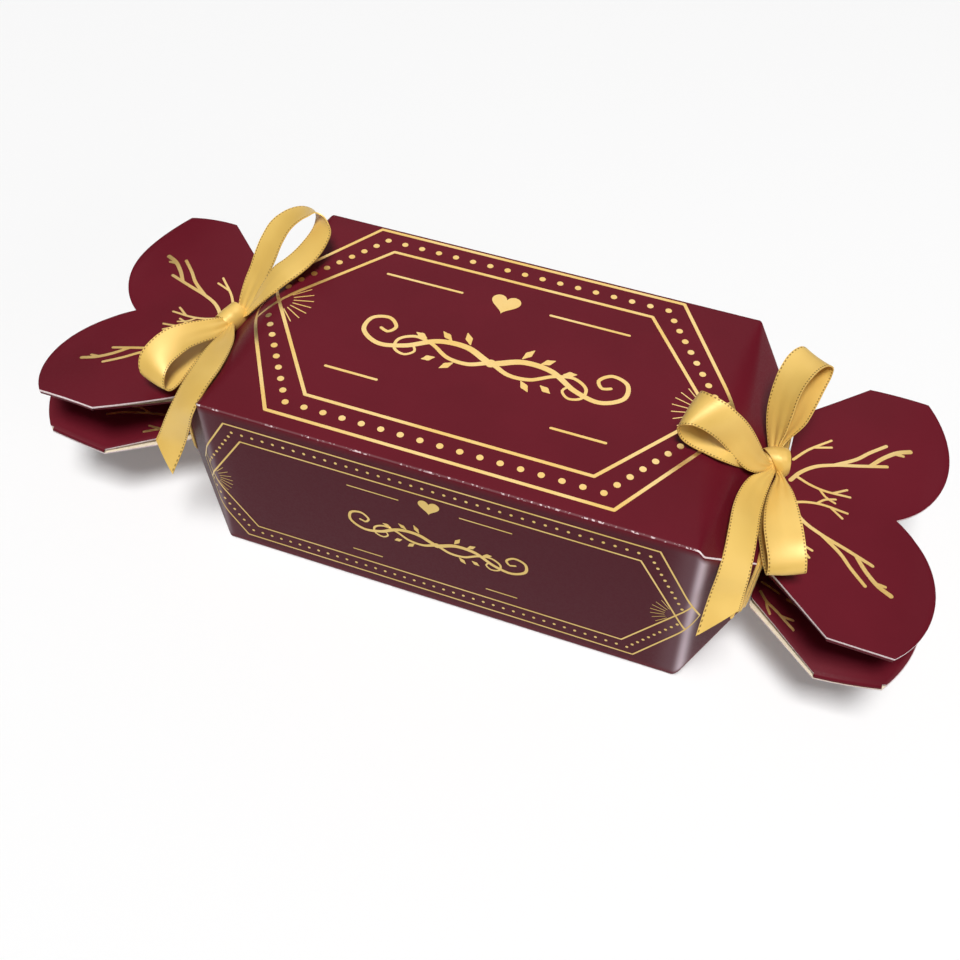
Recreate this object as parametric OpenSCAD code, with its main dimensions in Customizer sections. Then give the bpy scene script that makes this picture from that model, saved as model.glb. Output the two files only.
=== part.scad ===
// Candy-shaped folding gift box: a card tube drawn in to two necks,
// two-lobed wings with folded side gussets, and a ribbon bow on each neck.
// Origin at the middle of the rest face, +X along the box, +Z up, front at -Y.

/* [Body] */
// Length of the body between the corners of its tapers
body_l = 96; // [72:1:140]
// Width of the top and bottom panels
body_w = 62; // [50:1:90]
// Height of the front and back panels
body_h = 42; // [34:1:60]
// Thickness of the card
card_t = 0.5; // [0.4:0.05:0.8]
// Outer radius of the long folds
fold_r = 0.6; // [0.5:0.05:1.2]
// Width of the glued seam strip
flap_w = 12; // [8:0.5:16]

/* [Necks] */
// Width across a neck
neck_w = 40; // [32:1:48]
// Height of a neck
neck_h = 14; // [11:0.5:18]
// Height of the neck's middle above the body's middle
neck_lift = 1; // [0:0.5:2]
// Length of a taper along the box
taper_l = 12; // [10:0.5:18]
// Radius of the soft bend at the ends of the top panel
lid_bend_r = 5; // [3:0.5:12]
// Radius of the bend at the ends of the bottom panel
base_bend_r = 2.5; // [2:0.5:8]
// Radius of the soft bend at the ends of the front and back panels
side_bend_r = 4; // [3:0.5:10]

/* [Wings] */
// Distance from the neck crease to the shoulders
shoulder_l = 13; // [10:0.5:18]
// Length of the straight sides past the shoulders
side_l = 12; // [9:0.5:18]
// Depth of the notch between the lobes, from the ends of the straight sides
notch_l = 2.8; // [0:0.2:5]
// How much longer the bottom wings are than the top ones
bottom_extra = 1.5; // [0:0.5:4]
// Radius of a lobe, as a share of the wing's half width
lobe_share = 0.66; // [0.6:0.02:0.9]
// Upward tilt of the top wings
top_tilt = 1.5; // [0:0.5:4]
// Upward tilt of the bottom wings
bottom_tilt = 11; // [6:0.5:12]

/* [Gussets] */
// Distance left open at the inner fold, measured in the flat card
inner_fold_gap = 2.5; // [2:0.25:5]
// Room between an upper and a lower half at the outer end of the inner fold
inner_clear = 1.2; // [1:0.1:2]

/* [Ribbon] */
// Width of the ribbon
ribbon_w = 6.4; // [5:0.2:8]
// Thickness of the ribbon
ribbon_t = 0.4; // [0.3:0.05:0.6]
// Width of the ribbon where it is gathered round the neck
band_w = 3; // [2:0.25:4]
// Width of a loop or tail where it leaves the knot
gather_w = 3; // [2:0.25:4]
// Length over which a loop or tail opens to its full width
gather_l = 9; // [6:0.5:12]
// Radius of a knot
knot_r = 3; // [2.6:0.1:3.6]
// How far a knot sits from the middle of its neck towards the body
knot_shift = 1; // [0:0.1:1.2]
// How far a tail leans over the taper, seen from above
tail_lean = 8; // [4:1:10]
// Angle through which a tail bends down past the edge of the neck
tail_bend = 72; // [50:1:80]
// Length of the hanging part of a tail
tail_drop = 10; // [6:1:16]
// Slant of the cut across the end of a tail
tail_slant = 30; // [0:5:45]

/* [Fits] */
// Clearance at a crease that turns
crease_gap = 0.3; // [0.3:0.05:0.5]
// Clearance between pieces that only rest against each other
seat_gap = 0.1; // [0.05:0.05:0.2]

/* [Hidden] */
$fn = 96;
neck_x = body_l / 2 + taper_l;
neck_z = body_h / 2 + neck_lift;
neck_top = neck_z + neck_h / 2;
neck_bottom = neck_z - neck_h / 2;
crease_x = neck_x + crease_gap + card_t / 2;
top_crease_z = neck_top - card_t / 2;
bottom_crease_z = neck_bottom + card_t / 2;
wing_half = body_w / 2;
end_l = shoulder_l + side_l;
gusset_w = body_h / 2 - inner_fold_gap;
gusset_start = 1.5;
gusset_trim = 0.5;
fold_drop = card_t + crease_gap;
lobe_from = [end_l - notch_l, 0];
lobe_to = [end_l, wing_half];
lobe_r = max(lobe_share * wing_half, 0.52 * norm(lobe_to - lobe_from));
lobe_c = lobe_middle(lobe_from, lobe_to, lobe_r);
wing_l = lobe_c[0] + lobe_r;
wing_gap = top_crease_z - bottom_crease_z + wing_l * (tan(top_tilt) - tan(bottom_tilt));
gusset_angle = asin((wing_gap / 2 - inner_clear / 2 - fold_drop - card_t / 2) / gusset_w);
band_t = 2 * ribbon_t;
band_r = 2 * seat_gap;
side_slope = (body_w - neck_w) / 2 / taper_l;
top_slope = (body_h - neck_top) / taper_l;
bottom_slope = neck_bottom / taper_l;
band_half = neck_w / 2 + band_w / 2 * side_slope + seat_gap;
band_top = neck_top + band_w / 2 * top_slope + seat_gap;
band_bottom = neck_bottom - band_w / 2 * bottom_slope - seat_gap;
knot_flat = 0.85 * knot_r;
knot_x = neck_x - knot_shift;
knot_z = band_top + band_t + knot_r + seat_gap / 2;
loop_start = knot_r + seat_gap;
tail_lift = 0.7 * knot_r;
tail_start = sqrt(knot_r * knot_r - tail_lift * tail_lift) + seat_gap;
tail_l = neck_w / 2 + 1.4 * ribbon_w;
tail_r = ribbon_w;
tail_over = tail_l * sin(tail_lean) + ribbon_w / 2 + knot_shift;
tail_rise = atan2(neck_top + tail_over * top_slope + 3 * ribbon_t - knot_z - tail_lift, tail_l);
far_rise = atan2(body_h - knot_z + 1.3 * ribbon_w, 0.62 * neck_w);
body_rise = atan2(body_h - knot_z + 0.65 * ribbon_w, taper_l - knot_shift);
// Loops of the bows: turn seen from above, rise, roll, length, radius of the round end
left_far = [62, far_rise, 74, 0.72 * neck_w, 0.69 * ribbon_w];
left_near = [-106, 1, 90, 0.58 * neck_w, 0.5 * ribbon_w];
right_far = [84, far_rise, 82, 0.58 * neck_w, 0.62 * ribbon_w];
right_body = [-163, body_rise, 80, 0.64 * neck_w, 0.66 * ribbon_w];
right_near = [-76, 1, 90, 0.62 * neck_w, 0.5 * ribbon_w];
bend_steps = 10;
fold_steps = 4;
loop_steps = 14;
lobe_steps = 28;

card_color = [0.43, 0.11, 0.19];
ribbon_color = [0.79, 0.64, 0.25];

function taper_angle(h, hn) = atan2(h - hn, taper_l);
function along(angle, l) = [l * cos(angle), l * sin(angle)];
function arc(c, r, from, to, steps) = [for (i = [0:steps]) c + along(from + (to - from) * i / steps, r)];
function back(points) = [for (i = [len(points) - 1:-1:0]) points[i]];
function flipped(points, fx, fy) = [for (q = points) [fx * q[0], fy * q[1]]];
function lobe_middle(p, q, r) =
    let (d = q - p, l = norm(d), s = sqrt(r * r - l * l / 4))
    (p + q) / 2 + s / l * [-d[1], d[0]];

// Line of one side of the tube from neck to neck: a straight run that bends softly to both tapers.
// inset moves the line in by that much.
function soft_line(h, hn, r, inset) =
    let (
        a = taper_angle(h, hn),
        c = [body_l / 2 - r * tan(a / 2), h - r],
        right = concat([[neck_x, hn - inset / cos(a)]], arc(c, r - inset, 90 - a, 90, bend_steps))
    )
    concat(right, back(flipped(right, -1, 1)));

// Card strip along that line.
module soft_strip(h, hn, r) {
    polygon(concat(soft_line(h, hn, r, 0), back(soft_line(h, hn, r, card_t))));
}

// Side view of the tube, every face moved in by inset.
module elevation(inset) {
    translate([0, neck_z])
        polygon(concat(
            soft_line(body_h - neck_z, neck_h / 2, lid_bend_r, inset),
            back(flipped(soft_line(neck_z, neck_h / 2, base_bend_r, inset), 1, -1))
        ));
}

// Top view of the tube.
module plan() {
    line = soft_line(wing_half, neck_w / 2, side_bend_r, 0);
    polygon(concat(line, back(flipped(line, 1, -1))));
}

module across(w) {
    rotate([90, 0, 0])
        linear_extrude(height = w, center = true)
            children();
}

module lengthwise(l) {
    rotate([90, 0, 90])
        linear_extrude(height = l, center = true)
            children();
}

// Rectangle with round corners, its middle at the origin.
module rounded(w, h, r) {
    corner = arc([w / 2 - r, h / 2 - r], r, 0, 90, fold_steps);
    right = concat(back(flipped(corner, 1, -1)), corner);
    polygon(concat(right, back(flipped(right, -1, 1))));
}

module wide_panel() {
    color(card_color)
        intersection() {
            across(body_w)
                children();
            linear_extrude(height = body_h)
                plan();
            translate([0, 0, body_h / 2])
                lengthwise(2 * neck_x)
                    rounded(body_w, body_h, fold_r);
        }
}

module narrow_panel() {
    color(card_color)
        intersection() {
            linear_extrude(height = body_h)
                soft_strip(wing_half, neck_w / 2, side_bend_r);
            across(2 * body_w)
                elevation(card_t + seat_gap);
        }
}

module top_panel() {
    wide_panel()
        translate([0, neck_z])
            soft_strip(body_h - neck_z, neck_h / 2, lid_bend_r);
}

module bottom_panel() {
    wide_panel()
        translate([0, neck_z])
            mirror([0, 1])
                soft_strip(neck_z, neck_h / 2, base_bend_r);
}

module front_panel() {
    mirror([0, 1, 0])
        narrow_panel();
}

module back_panel() {
    narrow_panel();
}

// Seam strip of the bottom panel, turned up and glued to the inside of the back panel.
module glue_flap() {
    run = body_l / 2 - side_bend_r;
    low = card_t + seat_gap;
    color(card_color)
        translate([0, wing_half - 1.5 * card_t, 0])
            across(card_t)
                polygon([
                    [-run, low], [run, low],
                    [run - flap_w / 2, low + flap_w], [flap_w / 2 - run, low + flap_w]
                ]);
}

// Edge of half a wing in the flat, the middle line at y = 0: neck edge, dart, straight side, lobe.
// extra is added to its length.
function wing_edge(extra) =
    let (
        q = lobe_to - lobe_c,
        p = lobe_from - lobe_c
    )
    concat(
        [[-card_t, neck_w / 2], [0, neck_w / 2], [shoulder_l + extra, wing_half]],
        arc(lobe_c + [extra, 0], lobe_r, atan2(q[1], q[0]), atan2(p[1], p[0]), lobe_steps)
    );

// Edge of a gusset in the flat, the inner fold at y = 0. Its lobe lies just inside that of its wing,
// and a narrow lip past the straight side reaches the fold.
function gusset_edge(extra) =
    let (
        c = lobe_c + [extra, gusset_w - wing_half],
        r = lobe_r - gusset_trim,
        side = shoulder_l + gusset_trim + extra,
        lobe = arc(c, r, asin((gusset_w - c[1]) / r), asin(-c[1] / r), lobe_steps)
    )
    concat(
        [[gusset_start, 0], [gusset_start, neck_h / 2], [side, gusset_w]],
        [[side, gusset_w + card_t], lobe[0] + [0, card_t]],
        lobe
    );

// Card plate that turns on the y axis: its fold edge is round there, and it lies towards +X.
module hinged_plate(l, w) {
    color(card_color)
        intersection() {
            across(2 * w)
                polygon(concat(
                    arc([0, 0], card_t / 2, 90, 270, 2 * fold_steps),
                    [[2 * l, -card_t / 2], [2 * l, card_t / 2]]
                ));
            linear_extrude(height = 2 * card_t, center = true)
                children();
        }
}

module wing_outline(extra) {
    edge = wing_edge(extra);
    other = flipped([for (i = [0:len(edge) - 2]) edge[i]], 1, -1);
    polygon(concat(edge, back(other)));
}

module wing(extra) {
    hinged_plate(2 * end_l, body_w)
        wing_outline(extra);
}

// Half of a folded side panel, hanging from the fold along the side of its wing at +Y.
module gusset(extra) {
    translate([0, wing_half - card_t / 2, -fold_drop])
        rotate([gusset_angle, 0, 0])
            rotate([0, 0, -90])
                hinged_plate(gusset_w, 2 * end_l)
                    translate([gusset_w, 0])
                        rotate(90)
                            polygon(gusset_edge(extra));
}

// Places what belongs to a wing: side +1 right, -1 left.
module at_top(side) {
    mirror([side < 0 ? 1 : 0, 0, 0])
        translate([crease_x, 0, top_crease_z])
            rotate([0, -top_tilt, 0])
                children();
}

module at_bottom(side) {
    mirror([side < 0 ? 1 : 0, 0, 0])
        translate([crease_x, 0, bottom_crease_z])
            rotate([0, -bottom_tilt, 0])
                mirror([0, 0, 1])
                    children();
}

module in_front() {
    mirror([0, 1, 0])
        children();
}

module left_top_wing() {
    at_top(-1) wing(0);
}

module left_bottom_wing() {
    at_bottom(-1) wing(bottom_extra);
}

module right_top_wing() {
    at_top(1) wing(0);
}

module right_bottom_wing() {
    at_bottom(1) wing(bottom_extra);
}

module left_front_upper_gusset() {
    at_top(-1) in_front() gusset(0);
}

module left_front_lower_gusset() {
    at_bottom(-1) in_front() gusset(bottom_extra);
}

module left_back_upper_gusset() {
    at_top(-1) gusset(0);
}

module left_back_lower_gusset() {
    at_bottom(-1) gusset(bottom_extra);
}

module right_front_upper_gusset() {
    at_top(1) in_front() gusset(0);
}

module right_front_lower_gusset() {
    at_bottom(1) in_front() gusset(bottom_extra);
}

module right_back_upper_gusset() {
    at_top(1) gusset(0);
}

module right_back_lower_gusset() {
    at_bottom(1) gusset(bottom_extra);
}

// The ribbon's turn round a neck, gathered to a narrow band.
module neck_band(side) {
    w = 2 * band_half;
    h = band_top - band_bottom;
    color(ribbon_color)
        translate([side * neck_x, 0, (band_top + band_bottom) / 2])
            lengthwise(band_w)
                difference() {
                    rounded(w + 2 * band_t, h + 2 * band_t, band_r + band_t);
                    rounded(w, h, band_r);
                }
}

module knot(side) {
    color(ribbon_color)
        translate([side * knot_x, 0, knot_z])
            intersection() {
                sphere(r = knot_r);
                cube([2 * knot_r, 2 * knot_flat, 2 * knot_r], center = true);
            }
}

// Outline of the gathered ribbon seen on its face, from the knot outward.
module gather(start, l) {
    polygon([
        [start, -gather_w / 2], [start + gather_l, -ribbon_w / 2], [l, -ribbon_w / 2],
        [l, ribbon_w / 2], [start + gather_l, ribbon_w / 2], [start, gather_w / 2]
    ]);
}

// Line of a loop in side view: out along one strand, round the end and back along the other.
function loop_line(l, r, inset) =
    let (
        b = asin(r / (l - r)),
        in = inset * [sin(b), -cos(b)],
        half = concat(
            [loop_start / cos(b) * along(b, 1) + in],
            arc([l - r, 0], r - inset, 90 + b, 0, loop_steps)
        )
    )
    concat(half, back(flipped([for (i = [0:len(half) - 2]) half[i]], 1, -1)));

// One ribbon loop along +X: two strands and a round end.
module loop(l, r) {
    color(ribbon_color)
        intersection() {
            linear_extrude(height = ribbon_w, center = true)
                polygon(concat(loop_line(l, r, 0), back(loop_line(l, r, ribbon_t))));
            across(3 * r)
                gather(loop_start, l + r);
        }
}

// A ribbon end along +X: nearly level, bending down, then hanging to a slanted cut.
module tail(slant) {
    c = [tail_l, -tail_r];
    hang = along(-tail_bend, 2 * tail_drop);
    outer = arc(c, tail_r, 90, 90 - tail_bend, bend_steps);
    inner = arc(c, tail_r - ribbon_t, 90 - tail_bend, 90, bend_steps);
    depth = tail_r + 2 * tail_drop;
    color(ribbon_color)
        difference() {
            intersection() {
                across(2 * ribbon_w)
                    polygon(concat(
                        [[tail_start, -ribbon_t], [tail_start, 0]],
                        outer,
                        [outer[bend_steps] + hang, inner[0] + hang],
                        inner
                    ));
                translate([0, 0, -depth])
                    linear_extrude(height = 2 * depth)
                        gather(tail_start, tail_l + depth);
            }
            translate([tail_l, 0, -tail_r])
                rotate([0, tail_bend, 0])
                    translate([tail_drop, 0, tail_r])
                        rotate([0, 0, slant])
                            translate([0, -tail_drop, -tail_r / 2])
                                cube([2 * tail_drop, 2 * tail_drop, tail_r]);
        }
}

// Turns a loop or tail away from its knot.
module from_knot(side, turn, rise, roll, lift) {
    translate([side * knot_x, 0, knot_z + lift])
        rotate([roll, -rise, turn])
            children();
}

module bow_loop(side, shape) {
    from_knot(side, shape[0], shape[1], shape[2], 0)
        loop(shape[3], shape[4]);
}

module left_neck_band() {
    neck_band(-1);
}

module left_knot() {
    knot(-1);
}

module left_far_loop() {
    bow_loop(-1, left_far);
}

module left_near_loop() {
    bow_loop(-1, left_near);
}

module left_tail() {
    from_knot(-1, tail_lean - 90, tail_rise, 0, tail_lift)
        tail(tail_slant);
}

module right_neck_band() {
    neck_band(1);
}

module right_knot() {
    knot(1);
}

module right_far_loop() {
    bow_loop(1, right_far);
}

module right_body_loop() {
    bow_loop(1, right_body);
}

module right_near_loop() {
    bow_loop(1, right_near);
}

module right_tail() {
    from_knot(1, -90 - tail_lean, tail_rise, 0, tail_lift)
        tail(-tail_slant);
}

top_panel();
bottom_panel();
front_panel();
back_panel();
glue_flap();
left_top_wing();
left_bottom_wing();
right_top_wing();
right_bottom_wing();
left_front_upper_gusset();
left_front_lower_gusset();
left_back_upper_gusset();
left_back_lower_gusset();
right_front_upper_gusset();
right_front_lower_gusset();
right_back_upper_gusset();
right_back_lower_gusset();
left_neck_band();
left_knot();
left_far_loop();
left_near_loop();
left_tail();
right_neck_band();
right_knot();
right_far_loop();
right_body_loop();
right_near_loop();
right_tail();
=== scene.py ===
import math

import bpy
import numpy as np
from mathutils import Matrix, Vector


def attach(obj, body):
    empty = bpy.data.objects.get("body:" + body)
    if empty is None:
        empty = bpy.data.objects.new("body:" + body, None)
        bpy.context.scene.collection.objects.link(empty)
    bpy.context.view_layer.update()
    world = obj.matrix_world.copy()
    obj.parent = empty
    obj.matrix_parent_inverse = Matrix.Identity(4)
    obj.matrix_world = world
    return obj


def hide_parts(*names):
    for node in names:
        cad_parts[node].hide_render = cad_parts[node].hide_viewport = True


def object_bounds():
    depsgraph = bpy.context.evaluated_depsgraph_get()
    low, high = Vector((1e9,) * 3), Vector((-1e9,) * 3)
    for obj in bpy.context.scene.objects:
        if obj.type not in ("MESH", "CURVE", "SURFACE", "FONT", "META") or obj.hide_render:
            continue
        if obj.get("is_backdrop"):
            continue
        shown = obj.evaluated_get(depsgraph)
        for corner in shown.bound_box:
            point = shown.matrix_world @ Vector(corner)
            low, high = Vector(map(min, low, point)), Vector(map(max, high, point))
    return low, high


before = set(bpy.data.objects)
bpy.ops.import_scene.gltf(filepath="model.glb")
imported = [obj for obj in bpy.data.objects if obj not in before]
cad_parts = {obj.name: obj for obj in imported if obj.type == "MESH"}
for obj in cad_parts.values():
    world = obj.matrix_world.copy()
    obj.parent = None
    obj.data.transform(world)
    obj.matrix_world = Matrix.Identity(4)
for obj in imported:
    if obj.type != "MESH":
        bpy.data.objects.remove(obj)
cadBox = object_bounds()
mm = 0.001
print("frame loaded:", len(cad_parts), "nodes")

# sizes of the folded card, in millimetres, as in the part; a bend is its radius in the middle of a
# panel and at the panel's long edges, a reach is where a panel bends at one long edge and the other
card = {
    "length": 96, "width": 62, "height": 42, "thick": 0.5, "foldR": 0.6,
    "neckW": 40, "neckH": 14, "neckZ": 22, "taper": 12,
    "lidBend": (9.0, 1.1), "baseBend": (3.5, 0.9), "sideBend": (4.0, 0.9), "bendPower": 3,
    "frontReach": (49.2, 51.3), "baseReach": (50.4, 48.0),
    "bevel": 0.07, "bevelSteps": 2, "bevelAngle": 50, "smooth": 35,
}
neckX = card["length"] / 2 + card["taper"]

hands = {-1: "left", 1: "right"}  # by the sign of x
faces = {-1: "front", 1: "back"}  # by the sign of y
halves = {"top": "upper", "bottom": "lower"}  # a wing's level, and the half of a gusset it carries
upward = {"top": 1, "bottom": -1}  # which way a wing's printed face points


class Wire:
    # one output of a node; arithmetic on it adds Math nodes
    def __init__(self, tree, socket=None):
        self.tree, self.socket = tree, socket

    def node(self, kind, settings=None, inputs=None, out=0):
        made = self.tree.nodes.new("ShaderNode" + kind)
        for key, value in (settings or {}).items():
            setattr(made, key, value)
        for key, value in (inputs or {}).items():
            if isinstance(value, Wire):
                self.tree.links.new(value.socket, made.inputs[key])
            else:
                made.inputs[key].default_value = value
        return Wire(self.tree, made.outputs[out])

    def sibling(self, out):
        # another output of the same node
        return Wire(self.tree, self.socket.node.outputs[out])

    def calc(self, operation, *values):
        return self.node("Math", {"operation": operation}, dict(enumerate(values)))

    def __add__(self, other):
        return self.calc("ADD", self, other)

    def __radd__(self, other):
        return self.calc("ADD", other, self)

    def __sub__(self, other):
        return self.calc("SUBTRACT", self, other)

    def __rsub__(self, other):
        return self.calc("SUBTRACT", other, self)

    def __mul__(self, other):
        return self.calc("MULTIPLY", self, other)

    def __rmul__(self, other):
        return self.calc("MULTIPLY", other, self)

    def span(self, low, high, toLow=0.0, toHigh=1.0):
        return self.node(
            "MapRange", {"interpolation_type": "SMOOTHSTEP"},
            {0: self, 1: low, 2: high, 3: toLow, 4: toHigh},
        )

    def mixColour(self, a, b):
        return self.node("Mix", {"data_type": "RGBA"}, {0: self, 6: a, 7: b}, out=2)


def newMaterial(name):
    mat = bpy.data.materials.new(name)
    mat.use_nodes = True
    tree = mat.node_tree
    return mat, tree.nodes["Principled BSDF"], Wire(tree)


def feed(shader, name, wire):
    wire.tree.links.new(wire.socket, shader.inputs[name])


def objectPlace(start):
    return start.node("TexCoord", out=3)


def noise(start, at, scale, detail):
    return start.node("TexNoise", {}, {"Vector": at, "Scale": scale, "Detail": detail})


def bump(start, height, strength, distance):
    return start.node("Bump", {}, {"Strength": strength, "Distance": distance, "Height": height})


def attribute(start, name):
    return start.node("Attribute", {"attribute_name": name}, out=2)


def rgb(r, g, b):
    return (r, g, b, 1)


noiseSpan = (0.3, 0.7)  # where most values of a noise lie

# in all finishes a noise is given by its scale and detail, and a bump by its strength and distance
cardFinish = {
    "burgundy": rgb(0.138, 0.0068, 0.0165), "deeper": rgb(0.124, 0.006, 0.0145),
    # the darker burgundy for the front and back panels is painted shade
    "narrow": rgb(0.088, 0.0085, 0.017), "crack": rgb(0.86, 0.66, 0.68),
    # the pale mauve colour and its share are a painted highlight along the narrow panels' bends
    "paintedHighlightColour": rgb(0.72, 0.58, 0.64), "paintedHighlightShare": 0.76, "paleFold": (0.4, 1.0), "paleShare": 0.10,
    "tone": (60.0, 3.0), "grain": (2600.0, 4.0), "chips": (1500.0, 2.0), "patches": (240.0, 2.0),
    "wornFold": (0.55, 0.8), "wornChips": (0.52, 0.58), "wornPatches": (0.42, 0.54),
    "roughness": (0.41, 0.53), "wornRough": 0.3, "bump": (0.35, 0.00002), "gloss": 0.11,
}


def makeCardPrint():
    mat, shader, start = newMaterial("cardPrint")
    at = objectPlace(start)
    tone, grain, chips, patches = (
        noise(start, at, *cardFinish[key]) for key in ("tone", "grain", "chips", "patches"))
    fold, rub, narrow = (attribute(start, key) for key in ("fold", "rub", "narrow"))
    colour = tone.span(*noiseSpan).mixColour(cardFinish["deeper"], cardFinish["burgundy"])
    # the front and back panels are painted a darker burgundy: painted shade
    colour = narrow.mixColour(colour, cardFinish["narrow"])
    # the coating pales and chips along the folds, and a painted highlight lies pale along the bends
    # of the narrow panels
    pale = fold.span(*cardFinish["paleFold"]) * cardFinish["paleShare"]
    colour = pale.mixColour(colour, cardFinish["crack"])
    colour = (rub * cardFinish["paintedHighlightShare"]).mixColour(colour, cardFinish["paintedHighlightColour"])
    worn = fold.span(*cardFinish["wornFold"]) * chips.span(*cardFinish["wornChips"])
    worn = worn * patches.span(*cardFinish["wornPatches"])
    colour = worn.mixColour(colour, cardFinish["crack"])
    feed(shader, "Base Color", colour)
    rough = grain.span(*noiseSpan, *cardFinish["roughness"]) + worn * cardFinish["wornRough"]
    feed(shader, "Roughness", rough)
    feed(shader, "Normal", bump(start, grain, *cardFinish["bump"]))
    shader.inputs["Specular IOR Level"].default_value = cardFinish["gloss"]
    return mat


paperFinish = {
    "inner": {"light": rgb(0.78, 0.68, 0.52), "dark": rgb(0.70, 0.59, 0.43), "fibre": (1400, 5)},
    "core": {"light": rgb(0.92, 0.80, 0.80), "dark": rgb(0.78, 0.62, 0.62), "fibre": (1800, 5)},
    "roughness": (0.7, 0.9), "bump": (0.4, 0.00004),
}


def makePaper(name, shades):
    mat, shader, start = newMaterial(name)
    fibre = noise(start, objectPlace(start), *shades["fibre"])
    feed(shader, "Base Color", fibre.span(*noiseSpan).mixColour(shades["dark"], shades["light"]))
    feed(shader, "Roughness", fibre.span(*noiseSpan, *paperFinish["roughness"]))
    feed(shader, "Normal", bump(start, fibre, *paperFinish["bump"]))
    return mat


foilFinish = {
    "wide": {"light": rgb(0.98, 0.71, 0.30), "dark": rgb(0.93, 0.62, 0.20)},
    # the foil on the front and back panels is a darker copy: painted shade
    "narrow": {"light": rgb(0.82, 0.585, 0.22), "dark": rgb(0.72, 0.50, 0.155)},
    "drift": (90.0, 2.0), "grain": (3000.0, 3.0), "roughness": (0.30, 0.44), "bump": (0.5, 0.00003),
}


def makeFoil(name, shades):
    mat, shader, start = newMaterial(name)
    at = objectPlace(start)
    drift, grain = (noise(start, at, *foilFinish[key]) for key in ("drift", "grain"))
    feed(shader, "Base Color", drift.span(*noiseSpan).mixColour(shades["dark"], shades["light"]))
    feed(shader, "Roughness", grain.span(*noiseSpan, *foilFinish["roughness"]))
    feed(shader, "Normal", bump(start, grain, *foilFinish["bump"]))
    shader.inputs["Metallic"].default_value = 1.0
    return mat


# tick is the pitch of the stitched edge in metres, and floats is how finely the long threads of
# the weave are drawn along and across the ribbon
satinFinish = {
    "gold": rgb(0.90, 0.595, 0.15), "shade": rgb(0.83, 0.53, 0.12),
    "edgeDark": rgb(0.33, 0.175, 0.03), "edgeFrom": (0.875, 0.90), "edgeTo": (0.96, 0.98),
    "tick": 0.00066, "tickSpan": (-0.35, 0.35), "drift": (120.0, 1.0),
    "floats": (260.0, 120.0), "yarn": (1.0, 2.0), "yarnHeight": 0.5,
    "roughness": (0.37, 0.51), "bump": (0.5, 0.00004),
    "plain": {
        "Metallic": 0.12, "Specular IOR Level": 0.56,
        "Sheen Weight": 0.18, "Sheen Roughness": 0.4, "Sheen Tint": rgb(1.0, 0.92, 0.7),
    },
}


def makeSatin():
    mat, shader, start = newMaterial("goldSatin")
    along = start.node("SeparateXYZ", {}, {0: start.node("UVMap", {"uv_map": "weave"})})
    across = along.sibling(1)
    # stitched edge: small dark and bright ticks along both sides
    side = across.calc("ABSOLUTE", across)
    edge = side.span(*satinFinish["edgeFrom"]) * (1 - side.span(*satinFinish["edgeTo"]))
    turns = along * (2 * math.pi / satinFinish["tick"])
    tick = turns.calc("SINE", turns).span(*satinFinish["tickSpan"])
    drift = noise(start, objectPlace(start), *satinFinish["drift"])
    body = drift.span(*noiseSpan).mixColour(satinFinish["shade"], satinFinish["gold"])
    rim = tick.mixColour(satinFinish["edgeDark"], body)
    feed(shader, "Base Color", edge.mixColour(body, rim))
    # long floats of the satin weave: fine lines that run along the ribbon
    lengthwise, crosswise = satinFinish["floats"]
    threads = start.node("CombineXYZ", {}, {0: along * lengthwise, 1: across * crosswise})
    yarn = noise(start, threads, *satinFinish["yarn"])
    feed(shader, "Roughness", yarn.span(*noiseSpan, *satinFinish["roughness"]))
    height = yarn * satinFinish["yarnHeight"] - edge * (1 - tick)
    feed(shader, "Normal", bump(start, height, *satinFinish["bump"]))
    for name, value in satinFinish["plain"].items():
        shader.inputs[name].default_value = value
    return mat


cardPrint = makeCardPrint()
cardInner = makePaper("cardInner", paperFinish["inner"])
cardCore = makePaper("cardCore", paperFinish["core"])
foil = makeFoil("goldFoil", foilFinish["wide"])
# a darker copy of the foil for the front and back prints: painted shade
paintedShadeFoil = makeFoil("goldFoilPaintedShade", foilFinish["narrow"])
satin = makeSatin()
cardSet = (cardPrint, cardInner, cardCore)
printSlot, innerSlot, coreSlot = range(len(cardSet))
print("materials made")


def useOnly(obj):
    if bpy.context.mode != "OBJECT":
        bpy.ops.object.mode_set(mode="OBJECT")
    bpy.ops.object.select_all(action="DESELECT")
    bpy.context.view_layer.objects.active = obj
    obj.select_set(True)


def applyModifier(obj, kind, **settings):
    useOnly(obj)
    mod = obj.modifiers.new(kind.lower(), kind)
    for key, value in settings.items():
        setattr(mod, key, value)
    bpy.ops.object.modifier_apply(modifier=mod.name)


def editMesh(obj, *steps):
    useOnly(obj)
    bpy.ops.object.mode_set(mode="EDIT")
    bpy.ops.mesh.select_all(action="SELECT")
    for step in steps:
        step()
    bpy.ops.object.mode_set(mode="OBJECT")


def closeSeams(obj, reach):
    # joins the points that meet, and turns all faces outward
    editMesh(
        obj, lambda: bpy.ops.mesh.remove_doubles(threshold=reach * mm),
        bpy.ops.mesh.normals_make_consistent,
    )


def smooth(obj, angle):
    useOnly(obj)
    bpy.ops.object.shade_smooth_by_angle(angle=math.radians(angle))


def coords(obj):
    flat = np.zeros(len(obj.data.vertices) * 3)
    obj.data.vertices.foreach_get("co", flat)
    return flat.reshape(-1, 3)


def setCoords(obj, points):
    obj.data.vertices.foreach_set("co", np.asarray(points, float).ravel())
    obj.data.update()


def faceUp(obj, outward):
    # turns all faces round where the first one points against outward
    if obj.data.polygons[0].normal.dot(Vector(outward)) < 0:
        editMesh(obj, bpy.ops.mesh.flip_normals)


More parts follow.
